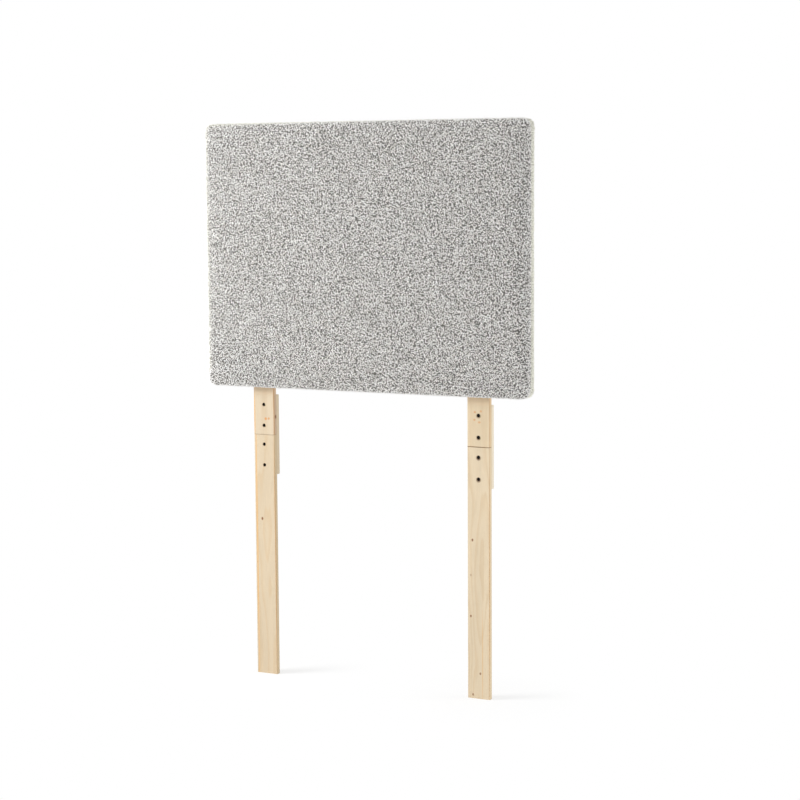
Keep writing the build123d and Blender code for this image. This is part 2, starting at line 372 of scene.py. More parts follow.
# %% Pulling it tight
SWELL_LEFT, SWELL_RIGHT, SAG = 8.3, 1.5, 0.6
SWELL_LIMIT = 1.5
ROLL_HOLD, FRONT_HOLD = 0.6, 0.12
HOLD_MARGIN, BEHIND_MARGIN = 1.0, 0.5
SIMULATED_FRAMES = 20
PRESSURE = 4.0


def swell(piece):
    """Widens a soft layer as the padding does, more to the left, and lets it hang a little low."""
    places = coordinates(piece)
    places[:, 0] *= 1 + np.where(places[:, 0] < 0, SWELL_LEFT, SWELL_RIGHT) / (WIDTH / 2)
    places[:, 2] -= SAG
    move_points(piece, places)
    return places


before = swell(cover)
depth = before[:, 1] - FRONT_Y
held = cover.vertex_groups.new(name="held_by_staples")
for part, weight in ((depth > behind - BEHIND_MARGIN, 1.0),
                     (depth < SIDE_DEPTH + HOLD_MARGIN, ROLL_HOLD),
                     (depth < CROWN + HOLD_MARGIN, FRONT_HOLD)):
    held.add([int(i) for i in np.nonzero(part)[0]], weight, "REPLACE")
cloth = cover.modifiers.new("pulled_tight", "CLOTH").settings
cloth.use_pressure, cloth.uniform_pressure_force = True, PRESSURE
cloth.effector_weights.gravity = 0
cloth.vertex_group_mass = held.name
cloth.quality = 6
for number in range(1, SIMULATED_FRAMES + 1):
    bpy.context.scene.frame_set(number)
bake_modifiers(cover)
moved = coordinates(cover) - before
far = np.linalg.norm(moved, axis=1, keepdims=True)
capped = moved * SWELL_LIMIT * np.tanh(far / SWELL_LIMIT) / np.maximum(far, 1e-6)
move_points(cover, before + capped)
bpy.context.scene.frame_set(1)
print("cloth moved up to", round(float(far.max()), 2), "mm, capped at", SWELL_LIMIT)
finer = cover.modifiers.new("finer", "SUBSURF")
finer.levels = finer.render_levels = 1
bake_modifiers(cover)

# %% [markdown]
# ## Slits for the stubs
# The uprights leave the panel through its bottom edge, so the fabric is slit there and the
# back part is cut away behind each upright. The sheet is cut along straight lines first, and
# then the faces inside each slit are deleted, which keeps clean edges.

# %% Cutting the slits
SLIT_HALF, SLIT_DEPTH, SLIT_TOP = 30.5, 32.5, 30.0
# how far beyond a slit faces are cut by its lines: sideways, to the front and upwards
CUT_WIDER, CUT_DEEPER, CUT_HIGHER = 20.0, 15.0, 5.0

sheet = bmesh.new()
sheet.from_mesh(cover.data)
slit_y, slit_z = FRONT_Y + SLIT_DEPTH, MIDDLE_Z - HEIGHT / 2 + SLIT_TOP


def slit_faces(centre, wider=0.0, deeper=0.0, higher=0.0):
    """Faces of the sheet whose middle lies in the slit round an upright, or a bit beyond it."""
    found = []
    for face in sheet.faces:
        x, y, z = (v / MM for v in face.calc_center_median())
        if abs(x - centre) < SLIT_HALF + wider and z < slit_z + higher and y > slit_y - deeper:
            found.append(face)
    return found


for centre in (-LEG_X, LEG_X):
    for at, normal in (((centre - SLIT_HALF, 0, 0), (1, 0, 0)),
                       ((centre + SLIT_HALF, 0, 0), (1, 0, 0)), ((0, slit_y, 0), (0, 1, 0))):
        near = slit_faces(centre, CUT_WIDER, CUT_DEEPER, CUT_HIGHER)
        around = near + list({e for f in near for e in f.edges}) + list({v for f in near for v in f.verts})
        bmesh.ops.bisect_plane(sheet, geom=around, dist=1e-6, plane_co=Vector(at) * MM, plane_no=normal)
    inside = slit_faces(centre)
    bmesh.ops.delete(sheet, geom=inside, context="FACES")
    print("slit at", centre, "faces cut out:", len(inside))
sheet.to_mesh(cover.data)
sheet.free()

# %% [markdown]
# ## Looped yarn
# What the eye takes for the fabric is its yarn: thick strands that stand up in open and closed
# loops with small dark gaps between them. Displacement can't curl over like that, so each
# loop is a short piece of yarn. Geometry Nodes scatter them over the ground cloth with an even
# spacing, turn them at random, and make five kinds, from an open bow to a nearly closed ring.
# A loop has only twenty-two faces, because there are over thirty-six thousand of them.

# %% Where loops stand
PILE_EDGE, PILE_BEHIND = 10.0, 1.0
# depths at which the painted highlight on the sides begins, left and right, how it fades in and how strong
# it gets
HIGHLIGHT_FROM_LEFT, HIGHLIGHT_FROM_RIGHT, HIGHLIGHT_CORNER = 3.0, 21.0, 40.0
HIGHLIGHT_BLEND, HIGHLIGHT_INSET, HIGHLIGHT_MOST = 7.0, 6.0, 0.85

points = coordinates(cover)
inset = np.minimum(WIDTH / 2 - np.abs(points[:, 0]), HEIGHT / 2 - np.abs(points[:, 2] - MIDDLE_Z))
covered = (points[:, 1] > FRONT_Y + behind - PILE_BEHIND) & (inset > PILE_EDGE)
paint_points(cover, "pile", np.where(covered, 0.0, 1.0))
# The sides are painted paler, yarn and ground both: a painted highlight for the light that they
# catch. On the left that begins right behind the front. Along the top it draws back little by
# little, and on the right and below it begins only halfway to the back.
leftward = np.clip(0.5 - points[:, 0] / WIDTH, 0, 1)
upward = np.clip((points[:, 2] - MIDDLE_Z + HEIGHT / 2) / HIGHLIGHT_CORNER, 0, 1)
from_depth = HIGHLIGHT_FROM_RIGHT + (HIGHLIGHT_FROM_LEFT - HIGHLIGHT_FROM_RIGHT) * leftward * upward
blend = np.clip((points[:, 1] - FRONT_Y - from_depth) / HIGHLIGHT_BLEND, 0, 1)
paint_points(cover, "side_highlight", HIGHLIGHT_MOST * blend * (inset < HIGHLIGHT_INSET))
print("share of points with pile:", round(float(1 - covered.mean()), 2))

# %% Yarn material
# white and grey yarn, and the paler colour of the painted highlight on the sides
YARN_WHITE, YARN_GREY, YARN_SIDE_HIGHLIGHT = "FFFEFC", "E9E6E2", "F4F4E8"
FIBRE_MM = 0.7

# Wool and acrylic yarn, brushed: dull, with a soft light rim from its loose fibres.
yarn, tree, place = start_material("wool_blend_looped_yarn")
tone = add(tree, "ShaderNodeAttribute", attribute_name="yarn_tone").outputs["Fac"]
fibre = add(tree, "ShaderNodeTexNoise", {"Vector": place, "Scale": 1000 / FIBRE_MM, "Detail": 2.0})
blend = add(tree, "ShaderNodeMapRange", {"Value": tone, "From Min": 0.15, "From Max": 0.55},
            interpolation_type="SMOOTHSTEP")
side_highlight = add(tree, "ShaderNodeAttribute", attribute_name="side_highlight").outputs["Fac"]
colour = add(tree, "ShaderNodeMix", {
    "Factor": blend, "A": linear(YARN_GREY), "B": linear(YARN_WHITE)}, data_type="RGBA")
# Painted highlight: towards the sides the yarn is painted paler.
colour = add(tree, "ShaderNodeMix", {
    "Factor": side_highlight, "A": colour, "B": linear(YARN_SIDE_HIGHLIGHT)}, data_type="RGBA")
end_material(tree, colour, fibre.outputs["Fac"], relief_mm=0.3, strength=0.6, values={
    "Roughness": 0.92, "IOR": 1.5, "Specular IOR Level": 0.2, "Sheen Weight": 0.45,
    "Sheen Roughness": 0.5})

# %% Ground material
# greys of the ground, painted shade for the gaps, and the paler colour of the painted highlight on the
# sides
GROUND_SHADED, GROUND_SHADE, GROUND_SIDE_HIGHLIGHT = "7E7B77", "4A4846", "C2C1B4"
WEAVE_MM = 3.0

# Woven ground under the pile, seen only in the gaps. Its dark grey is painted shade for the gaps, where
# little light reaches it.
ground, tree, place = start_material("woven_ground_cloth")
cloud = add(tree, "ShaderNodeTexNoise", {"Vector": place, "Scale": 1000 / WEAVE_MM, "Detail": 3.0})
colour = add(tree, "ShaderNodeMix", {
    "Factor": cloud.outputs["Fac"], "A": linear(GROUND_SHADE), "B": linear(GROUND_SHADED)}, data_type="RGBA")
side_highlight = add(tree, "ShaderNodeAttribute", attribute_name="side_highlight").outputs["Fac"]
# Painted highlight: towards the sides the ground is painted paler.
colour = add(tree, "ShaderNodeMix", {
    "Factor": side_highlight, "A": colour, "B": linear(GROUND_SIDE_HIGHLIGHT)}, data_type="RGBA")
end_material(tree, colour, cloud.outputs["Fac"], relief_mm=0.6, strength=0.8, values={
    "Roughness": 0.95, "IOR": 1.5, "Specular IOR Level": 0.2})

# %% Tree that scatters the loops, and its inputs
LOOP_SPACING, YARN_RADIUS, LOOP_RISE = 3.45, 0.9, 1.3

tree = bpy.data.node_groups.new("looped_yarn", "GeometryNodeTree")
sizes = {"Loop spacing": LOOP_SPACING * MM, "Yarn radius": YARN_RADIUS * MM,
         "Loop rise": LOOP_RISE * MM}
inputs = [("Ground", "Geometry")] + [(name, "Float") for name in sizes] + [("Yarn", "Material")]
for name, kind in inputs:
    tree.interface.new_socket(name, in_out="INPUT", socket_type="NodeSocket" + kind)
tree.interface.new_socket("Loops", in_out="OUTPUT", socket_type="NodeSocketGeometry")
given = add(tree, "NodeGroupInput").outputs

# %% Spots and the five kinds of loop
MOST_LOOPS_PER_M2 = 290000.0
SPOT_SEED, KIND_SEED, LEAN_SEED, SIZE_SEED, TONE_SEED = 11, 3, 5, 7, 9
# four arcs by radius and sweep in degrees, and a bow by its half length and its handles' lean
ARCS = ((1.85, 205), (1.7, 250), (1.55, 290), (2.15, 170))
BOW_HALF, BOW_ALONG, BOW_ACROSS = 2.4, 1.2, 3.7
LOOP_SUNK = 0.3

where = add(tree, "GeometryNodeInputNamedAttribute", {"Name": "pile"}, data_type="FLOAT")
spots = add(tree, "GeometryNodeDistributePointsOnFaces", {
    "Mesh": given["Ground"], "Distance Min": given["Loop spacing"], "Density Max": MOST_LOOPS_PER_M2,
    "Density Factor": where.outputs["Attribute"], "Seed": SPOT_SEED}, distribute_method="POISSON")
kinds = add(tree, "GeometryNodeJoinGeometry")
for radius, sweep in ARCS:
    arc = add(tree, "GeometryNodeCurveArc", {
        "Resolution": 6, "Radius": radius * MM, "Sweep Angle": math.radians(sweep)}, mode="RADIUS")
    tree.links.new(arc.outputs["Curve"], kinds.inputs[0])
bow = add(tree, "GeometryNodeCurvePrimitiveBezierSegment", {
    "Resolution": 5, "Start": (-BOW_HALF * MM, 0, 0),
    "Start Handle": (-BOW_ALONG * MM, BOW_ACROSS * MM, 0),
    "End Handle": (BOW_ALONG * MM, -BOW_ACROSS * MM, 0), "End": (BOW_HALF * MM, 0, 0)}, mode="POSITION")
tree.links.new(bow.outputs["Curve"], kinds.inputs[0])
along = add(tree, "GeometryNodeSplineParameter").outputs["Factor"]
half_turn = add(tree, "ShaderNodeMath", {0: along, 1: math.pi}, operation="MULTIPLY")
arch = add(tree, "ShaderNodeMath", {0: half_turn}, operation="SINE")
height = add(tree, "ShaderNodeMath", {0: arch, 1: given["Loop rise"], 2: -LOOP_SUNK * MM},
             operation="MULTIPLY_ADD")
lift = add(tree, "ShaderNodeCombineXYZ", {"Z": height})
arched = add(tree, "GeometryNodeSetPosition", {"Geometry": kinds, "Offset": lift})
order = add(tree, "GeometryNodeInputIndex")
apart = add(tree, "GeometryNodeSplitToInstances", {"Geometry": arched, "Group ID": order},
            domain="CURVE")

# %% Yarn along the loops, each turned, sized and toned at random
LEAN = 0.3
SMALLEST, LARGEST = 0.85, 1.15
DRIFT_MM, DRIFT_PATCH_MM = 1.4, 4.0

round_yarn = add(tree, "GeometryNodeCurvePrimitiveCircle", {
    "Resolution": 4, "Radius": given["Yarn radius"]})
strands = add(tree, "GeometryNodeCurveToMesh", {
    "Curve": apart.outputs["Instances"], "Profile Curve": round_yarn, "Fill Caps": True})
which = add(tree, "FunctionNodeRandomValue", {"Min": 0, "Max": len(ARCS), "Seed": KIND_SEED},
            data_type="INT")
lean = add(tree, "FunctionNodeRandomValue", {
    "Min": (-LEAN, -LEAN, 0), "Max": (LEAN, LEAN, 2 * math.pi), "Seed": LEAN_SEED},
    data_type="FLOAT_VECTOR")
turned = add(tree, "FunctionNodeRotateRotation", {
    "Rotation": spots.outputs["Rotation"], "Rotate By": lean}, rotation_space="LOCAL")
size = add(tree, "FunctionNodeRandomValue", {"Min": SMALLEST, "Max": LARGEST, "Seed": SIZE_SEED},
           data_type="FLOAT")
loops = add(tree, "GeometryNodeInstanceOnPoints", {
    "Points": spots.outputs["Points"], "Instance": strands, "Pick Instance": True,
    "Instance Index": which, "Rotation": turned, "Scale": size})
shade = add(tree, "FunctionNodeRandomValue", {"Min": 0.0, "Max": 1.0, "Seed": TONE_SEED},
            data_type="FLOAT")
toned = add(tree, "GeometryNodeStoreNamedAttribute", {
    "Geometry": loops, "Name": "yarn_tone", "Value": shade}, data_type="FLOAT", domain="INSTANCE")
real = add(tree, "GeometryNodeRealizeInstances", {"Geometry": toned})
wander = add(tree, "ShaderNodeTexNoise", {"Scale": 1000 / DRIFT_PATCH_MM, "Detail": 1.0})
centred = add(tree, "ShaderNodeVectorMath", {0: wander.outputs["Color"], 1: (-0.5, -0.5, -0.5)},
              operation="ADD")
drift = add(tree, "ShaderNodeVectorMath", {0: centred, "Scale": DRIFT_MM * MM}, operation="SCALE")
loose = add(tree, "GeometryNodeSetPosition", {"Geometry": real, "Offset": drift})
smooth = add(tree, "GeometryNodeSetShadeSmooth", {"Geometry": loose})
finish = add(tree, "GeometryNodeSetMaterial", {"Geometry": smooth, "Material": given["Yarn"]})
add(tree, "NodeGroupOutput", {"Loops": finish})
print("tree of the loops:", len(tree.nodes), "nodes")

# %% Scattering the loops
pile_piece = in_scene("pile", cover.data.copy())
scatter = pile_piece.modifiers.new("looped_yarn", "NODES")
scatter.node_group = tree
for item in tree.interface.items_tree:
    if item.in_out == "INPUT" and item.name in sizes:
        scatter[item.identifier] = sizes[item.name]
    elif item.in_out == "INPUT" and item.name == "Yarn":
        scatter[item.identifier] = yarn
bake_modifiers(pile_piece)
print("yarn faces:", len(pile_piece.data.polygons))

# %% [markdown]
# ## Cover in one piece
# Yarn and ground are one cloth, so they become one piece: the ground gets its thickness, the
# loops are added to its mesh, and each face keeps the material of the layer that it came from.
# The yarn's tone is a number on the points of the loops, so the ground gets an empty one first.

# %% Cover in one piece
GROUND_THICK = 1.0

cover.data.materials.clear()
cover.data.materials.append(ground)
thick = cover.modifiers.new("thick", "SOLIDIFY")
thick.thickness, thick.offset = GROUND_THICK * MM, -1
bake_modifiers(cover)
whole = bmesh.new()
whole.from_mesh(cover.data)
whole.verts.layers.float.new("yarn_tone")
whole.from_mesh(pile_piece.data)
ground_faces = len(cover.data.polygons)
whole.faces.ensure_lookup_table()
for number, face in enumerate(whole.faces):
    face.material_index = 0 if number < ground_faces else 1
whole.to_mesh(cover.data)
whole.free()
cover.data.materials.append(yarn)
bpy.data.objects.remove(pile_piece)
print("faces of the ground:", ground_faces, "and of the yarn:", len(cover.data.polygons) - ground_faces)

# %% [markdown]
# Patterned surfaces can be painted into one picture for each piece, which then needs to know
# which spot of the picture belongs to which spot of the piece. The cover is a cut of cloth, so it is
# simply rolled out flat: the sides fold out beside the front, and the back part beyond them.

# %% Rolled-out cover
SHEET_SPAN, TURN_BEGINS = 1080.0, 2.5

points = coordinates(cover)
upright = points[:, 2] - MIDDLE_Z
side = np.column_stack([WIDTH / 2 - np.abs(points[:, 0]), HEIGHT / 2 - np.abs(upright)])
depth = np.clip(points[:, 1] - FRONT_Y - CROWN, 0, None)
nearer = side.argmin(axis=1)
inset = side[np.arange(len(side)), nearer]
fold_out = depth + np.where(points[:, 1] > FRONT_Y + RETURN_DEPTH - TURN_BEGINS, 2 * inset, 0)
flat = np.column_stack([points[:, 0], upright])
flat[np.arange(len(flat)), nearer] += np.sign(flat[np.arange(len(flat)), nearer]) * fold_out
corner_vertex = np.empty(len(cover.data.loops), dtype=np.int32)
cover.data.loops.foreach_get("vertex_index", corner_vertex)
rolled_out = cover.data.uv_layers.new(name="OFBake")
rolled_out.data.foreach_set("uv", (flat[corner_vertex] / SHEET_SPAN + 0.5).ravel())
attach(cover, "root")
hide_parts("fabric_cover")
print("cover:", len(cover.data.polygons), "faces")

# %% [markdown]
# ## Wadding and foam
# Under the cover lies a layer of polyester wadding, which rounds the edges, and a slab of foam
# that gives the front its depth. Nobody sees them once the cover is on, but they are real
# pieces that can be looked at with the cover hidden, so both get their own form and finish.
# They swell as the cover does, so that they fill it.

# %% Wadding
WADDING_UNDER, WADDING_THICK, WADDING_CELL = 3.2, 2.4, 14.0
WADDING_DEPTHS = (30, 40, 46.6)
FIBREFILL, FIBREFILL_SHADE = "F6F6F4", "E4E4E2"
FIBREFILL_TUFT_MM = 12.0

rings = front_rings(WADDING_UNDER, roll_steps=4)
rings += [(WADDING_UNDER, depth, CORNER - WADDING_UNDER) for depth in WADDING_DEPTHS]
wadding = panel_piece("wadding_layer", rings, WADDING_CELL)
swell(wadding)
thick = wadding.modifiers.new("thick", "SOLIDIFY")
thick.thickness, thick.offset = WADDING_THICK * MM, -1
bake_modifiers(wadding)

# Bonded polyester fibre: white, cloudy, without any gloss.
fibrefill, tree, place = start_material("bonded_polyester_fibrefill")
cloud = add(tree, "ShaderNodeTexNoise", {
    "Vector": place, "Scale": 1000 / FIBREFILL_TUFT_MM, "Detail": 6.0, "Distortion": 1.2})
colour = add(tree, "ShaderNodeMix", {
    "Factor": cloud.outputs["Fac"], "A": linear(FIBREFILL_SHADE), "B": linear(FIBREFILL)},
    data_type="RGBA")
end_material(tree, colour, cloud.outputs["Fac"], relief_mm=1.5, strength=0.8, values={
    "Roughness": 1.0, "IOR": 1.5, "Specular IOR Level": 0.1, "Sheen Weight": 0.3})
wadding.data.materials.append(fibrefill)
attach(wadding, "root")
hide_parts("wadding")

# %% Foam
FOAM_CELL, FOAM_SIDE, FOAM_CORNER, FOAM_CLEAR = 16.0, 5.6, 13.0, 0.2
# each ring's inset from the panel's edge, its depth behind the foam's own front, its corner
FOAM_CROWN = ((70.0, 0.4, 0.0), (45, 0.7, 8), (25, 1.6, 9), (14, 3.5, 10), (9, 6, 11),
              (6.4, 9, 12), (FOAM_SIDE, 12, FOAM_CORNER))
FOAM_CREAM, FOAM_SHADE = "F3EDCF", "DDD3A8"
PORE_MM = 1.1

foam_low, foam_high = (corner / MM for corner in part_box("foam_pad"))
top, bottom = foam_low.y - FRONT_Y, foam_high.y - FRONT_Y
rings = [(inset, top + depth, corner) for inset, depth, corner in FOAM_CROWN]
rings += [(FOAM_SIDE, bottom - FOAM_CLEAR, FOAM_CORNER)]
foam = panel_piece("foam_slab", rings, FOAM_CELL, closed=True)
swell(foam)

# Open-cell foam, cut on a saw: pale cream, with pores about a millimetre wide.
open_cell, tree, place = start_material("open_cell_foam")
pores = add(tree, "ShaderNodeTexVoronoi", {"Vector": place, "Scale": 1000 / PORE_MM})
colour = add(tree, "ShaderNodeMix", {
    "Factor": pores.outputs["Distance"], "A": linear(FOAM_SHADE), "B": linear(FOAM_CREAM)},
    data_type="RGBA")
end_material(tree, colour, pores.outputs["Distance"], relief_mm=0.5, strength=1.0, values={
    "Roughness": 0.95, "IOR": 1.45, "Specular IOR Level": 0.1})
foam.data.materials.append(open_cell)
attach(foam, "root")
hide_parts("foam_pad")
print("wadding and foam:", len(wadding.data.polygons), "and", len(foam.data.polygons), "faces")

# %% [markdown]
# ## Back lining
# Thin black non-woven cloth closes the back. It is cut 900 by 680 mm, its edge is turned under
# by 12 mm, and staples hold it along the edge. Between the staples the cloth stands off a
# little, and over the open bays of the frame it has a slight slack. The sheet is one surface
# with the turned edge as its outer rows, so it can be measured as the cloth that was cut.

# %% Lining
LINING_HALF_X, LINING_HALF_Z, HEM = 438.0, 328.0, 12.0
LINING_FACE = RETURN_DEPTH + 1.1
LINING_CELL = 8.0
SLACK, SLACK_REACH, SLACK_EDGE = 0.7, 400.0, 60.0
RIPPLE, RIPPLE_EDGE = 0.35, 40.0
RIPPLE_X, RIPPLE_SWAY, RIPPLE_Z = 23.0, 31.0, 37.0
# rows of the turned edge: how far under the face, how far in from the edge
HEM_ROWS = ((0.45, -0.2), (0.85, 0.6), (0.85, HEM))


def lining_wave(x, z):
    """How far the cloth stands off, in mm, at a place on the lining."""
    edge_x, edge_z = LINING_HALF_X - abs(x), LINING_HALF_Z - abs(z)
    edge = min(edge_x, edge_z)
    sunk = max(0.0, math.sin(math.pi * min(edge_x, SLACK_REACH) / SLACK_REACH))
    slack = -SLACK * sunk * min(1.0, edge / SLACK_EDGE)
    across = math.sin(x / RIPPLE_X + 0.7 * math.sin(z / RIPPLE_SWAY))
    waves = across * math.sin(z / RIPPLE_Z + 0.5)
    return slack + RIPPLE * waves * min(1.0, edge / RIPPLE_EDGE)


nx, nz = round(2 * LINING_HALF_X / LINING_CELL), round(2 * LINING_HALF_Z / LINING_CELL)
xs, zs = np.linspace(-1, 1, nx + 1) * LINING_HALF_X, np.linspace(-1, 1, nz + 1) * LINING_HALF_Z
points = [(x, FRONT_Y + LINING_FACE + lining_wave(x, z), MIDDLE_Z + z) for z in zs for x in xs]
row = nx + 1
faces = [(j * row + i, (j + 1) * row + i, (j + 1) * row + i + 1, j * row + i + 1)
         for j in range(nz) for i in range(nx)]
walk = rim_walk(nx, nz)
rim = [j * row + i for i, j in walk]
for under, inset in HEM_ROWS:
    start = len(points)
    for i, j in walk:
        x = xs[i] * (LINING_HALF_X - inset) / LINING_HALF_X
        z = zs[j] * (LINING_HALF_Z - inset) / LINING_HALF_Z
        points.append((x, FRONT_Y + LINING_FACE - under, MIDDLE_Z + z))
    new = list(range(start, len(points)))
    faces += [(rim[k - 1], rim[k], new[k], new[k - 1]) for k in range(len(rim))]
    rim = new
lining = soft_piece("lining_cloth", points, faces)

# %% Lining material
LINING_BLACK, LINING_SHEEN = "17181A", "2C2D2F"
DOT_MM, STRAND_MM = 2.0, 9.0

# Spun-bonded polypropylene: near black, slightly shiny, embossed with fine dots that hold it
# together. The dots are drawn 2 mm apart, a little coarser than they are, so that they show.
spunbond, tree, place = start_material("spun_bonded_lining")
dots = add(tree, "ShaderNodeTexVoronoi", {
    "Vector": place, "Scale": 1000 / DOT_MM, "Randomness": 0.15})
strands = add(tree, "ShaderNodeTexNoise", {
    "Vector": place, "Scale": 1000 / STRAND_MM, "Detail": 5.0, "Distortion": 2.0})
colour = add(tree, "ShaderNodeMix", {
    "Factor": strands.outputs["Fac"], "A": linear(LINING_BLACK), "B": linear(LINING_SHEEN)},
    data_type="RGBA")
end_material(tree, colour, dots.outputs["Distance"], relief_mm=0.3, strength=0.7, values={
    "Roughness": 0.72, "IOR": 1.49})
lining.data.materials.append(spunbond)
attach(lining, "root")
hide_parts("back_lining")
print("lining:", len(lining.data.polygons), "faces")

# %% [markdown]
# ## Pine
# The struts are planed pine without any finish: pale straw with faint growth rings and a few
# small knots and streaks of resin. A board is a slice of a log, so its figure comes from the
# distance to the log's pith, which lies outside the board. The pattern is computed in space,
# so the rings run on round the edges and show as arcs on the end grain. Noise stretched along
# the trunk bends the rings as in real growth. The frame is sawn, and shows the saw's marks.

# %% Growth rings
# for each noise, its size in mm across and along the trunk, and its detail
PINE_NOISES = (("bend", 60, 420, 2.0), ("fibres", 0.8, 30, 3.0), ("patches", 40, 300, 3.0))
# how far noise bends the rings, and how much of the way along the trunk counts for them
RING_BEND_MM, TRUNK_SHARE = 26.0, 0.012


def growth_rings(tree, place, along, pith, ring_mm):
    """Dark part of the rings round a pith, from 0 to 1, the noises and the way along the trunk."""
    axes = add(tree, "ShaderNodeSeparateXYZ", {"Vector": place}).outputs
    across, trunk = (axes["X"], axes["Z"]) if along == "z" else (axes["Z"], axes["X"])
    board = add(tree, "ShaderNodeCombineXYZ", {"X": across, "Y": axes["Y"], "Z": trunk})
    noises = {}
    for use, wide, tall, detail in PINE_NOISES:
        drawn_out = add(tree, "ShaderNodeMapping", {
            "Vector": board, "Scale": (1000 / wide, 1000 / wide, 1000 / tall)})
        noises[use] = add(tree, "ShaderNodeTexNoise", {
            "Vector": drawn_out, "Scale": 1.0, "Detail": detail}).outputs
    shift = add(tree, "ShaderNodeVectorMath", {
        0: noises["bend"]["Color"], "Scale": RING_BEND_MM * MM}, operation="SCALE")
    bent = add(tree, "ShaderNodeVectorMath", {0: board, 1: shift}, operation="ADD")
    section = add(tree, "ShaderNodeVectorMath", {0: bent, 1: (1, 1, TRUNK_SHARE)},
                  operation="MULTIPLY")
    reach = add(tree, "ShaderNodeVectorMath", {
        0: section, 1: (pith[0] * MM, pith[1] * MM, 0)}, operation="DISTANCE")
    rings = add(tree, "ShaderNodeMath", {0: reach.outputs["Value"], 1: 1000 / ring_mm},
                operation="MULTIPLY")
    phase = add(tree, "ShaderNodeMath", {0: rings}, operation="FRACT")
    rise = add(tree, "ShaderNodeMapRange", {"Value": phase, "From Min": 0.35, "From Max": 0.88},
               interpolation_type="SMOOTHSTEP")
    drop = add(tree, "ShaderNodeMapRange", {
        "Value": phase, "From Min": 0.9, "From Max": 1.0, "To Min": 1.0, "To Max": 0.0})
    late = add(tree, "ShaderNodeMath", {0: rise, 1: drop}, operation="MULTIPLY")
    return late, noises, trunk


# %% Wood's colour, its edges and its marks
# mm from a strut's middle at which painted shade begins on its rounded edges and is full, over the side
# faces
EDGE_BEGINS, EDGE_FULL = 29.1, 29.9


def wood_colour(tree, spring, summer, share, noises):
    """Spring wood darkened to summer wood by a share, with fibres and paler and darker patches."""
    colour = add(tree, "ShaderNodeMix", {
        "Factor": share, "A": linear(spring), "B": linear(summer)}, data_type="RGBA")
    grain = add(tree, "ShaderNodeMapRange", {
        "Value": noises["fibres"]["Fac"], "From Min": 0.3, "From Max": 0.7, "To Min": 0.93,
        "To Max": 1.03})
    patches = add(tree, "ShaderNodeMapRange", {
        "Value": noises["patches"]["Fac"], "From Min": 0.3, "From Max": 0.7, "To Min": 0.95,
        "To Max": 1.04})
    worn = add(tree, "ShaderNodeMath", {0: grain, 1: patches}, operation="MULTIPLY")
    return add(tree, "ShaderNodeMix", {"Factor": 1.0, "A": colour, "B": worn}, data_type="RGBA",
               blend_type="MULTIPLY")


def shade_side_faces(tree, place, colour, middle, side_shade):
    """The colour with painted shade at both edges and side faces of a strut whose middle is at that x."""
    x = add(tree, "ShaderNodeSeparateXYZ", {"Vector": place}).outputs["X"]
    off = add(tree, "ShaderNodeMath", {0: x, 1: middle * MM}, operation="SUBTRACT")
    off = add(tree, "ShaderNodeMath", {0: off}, operation="ABSOLUTE")
    side = add(tree, "ShaderNodeMapRange", {
        "Value": off, "From Min": EDGE_BEGINS * MM, "From Max": EDGE_FULL * MM})
    side_shaded = add(tree, "ShaderNodeMix", {"Factor": 1.0, "A": colour, "B": linear(side_shade)},
                 data_type="RGBA", blend_type="MULTIPLY")
    return add(tree, "ShaderNodeMix", {"Factor": side, "A": colour, "B": side_shaded}, data_type="RGBA")


def put_mark(tree, place, colour, bend, mark):
    """The colour with one ragged spot in it: a knot, a streak, a dark joint, or painted shade, shadow,
    highlight or glint.
    """
    x, y, z, wide, deep, tall, shade, strength = mark
    spot = add(tree, "ShaderNodeMapping", {
        "Vector": place, "Location": (x * MM, y * MM, z * MM),
        "Scale": (wide * MM, deep * MM, tall * MM)}, vector_type="TEXTURE")
    ragged = add(tree, "ShaderNodeVectorMath", {0: bend, "Scale": 0.5}, operation="SCALE")
    spot = add(tree, "ShaderNodeVectorMath", {0: spot, 1: ragged}, operation="ADD")
    away = add(tree, "ShaderNodeVectorMath", {0: spot, 1: (0.25, 0.25, 0.25)}, operation="DISTANCE")
    share = add(tree, "ShaderNodeMapRange", {
        "Value": away.outputs["Value"], "From Min": 1.15, "From Max": 0.45, "To Min": 0.0,
        "To Max": strength}, interpolation_type="SMOOTHSTEP")
    return add(tree, "ShaderNodeMix", {"Factor": share, "A": colour, "B": linear(shade)},
               data_type="RGBA")


# %% Pine material
SAW_STEP_MM = 4.0


def pine(name, spring, summer, pith, along="z", ring_mm=3.4, contrast=0.3, edge=None, side_shade=None,
         marks=(), sawn=False):
    """Pine cut along one axis: light spring wood, darker summer wood, rings round a pith.
    edge is the x of the board's middle, and the next argument the colour of the painted shade on its edges
    and side faces."""
    material, tree, place = start_material(name)
    late, noises, trunk = growth_rings(tree, place, along, pith, ring_mm)
    share = add(tree, "ShaderNodeMath", {0: late, 1: contrast}, operation="MULTIPLY")
    colour = wood_colour(tree, spring, summer, share, noises)
    if edge is not None:
        # painted shade on the board's edges and side faces
        colour = shade_side_faces(tree, place, colour, edge, side_shade)
    for mark in marks:
        colour = put_mark(tree, place, colour, noises["bend"]["Color"], mark)
    height = add(tree, "ShaderNodeMath", {0: noises["fibres"]["Fac"], 1: late, 2: 0.4},
                 operation="MULTIPLY_ADD")
    if sawn:
        teeth = add(tree, "ShaderNodeMath", {0: trunk, 1: 2 * math.pi * 1000 / SAW_STEP_MM},
                    operation="MULTIPLY")
        teeth = add(tree, "ShaderNodeMath", {0: teeth}, operation="SINE")
        height = add(tree, "ShaderNodeMath", {0: teeth, 1: 0.5, 2: height}, operation="MULTIPLY_ADD")
    relief_mm, roughness = (0.25, 0.72) if sawn else (0.08, 0.58)
    end_material(tree, colour, height, relief_mm=relief_mm, strength=0.5, values={
        "Roughness": roughness, "IOR": 1.5, "Specular IOR Level": 0.35})
    return material


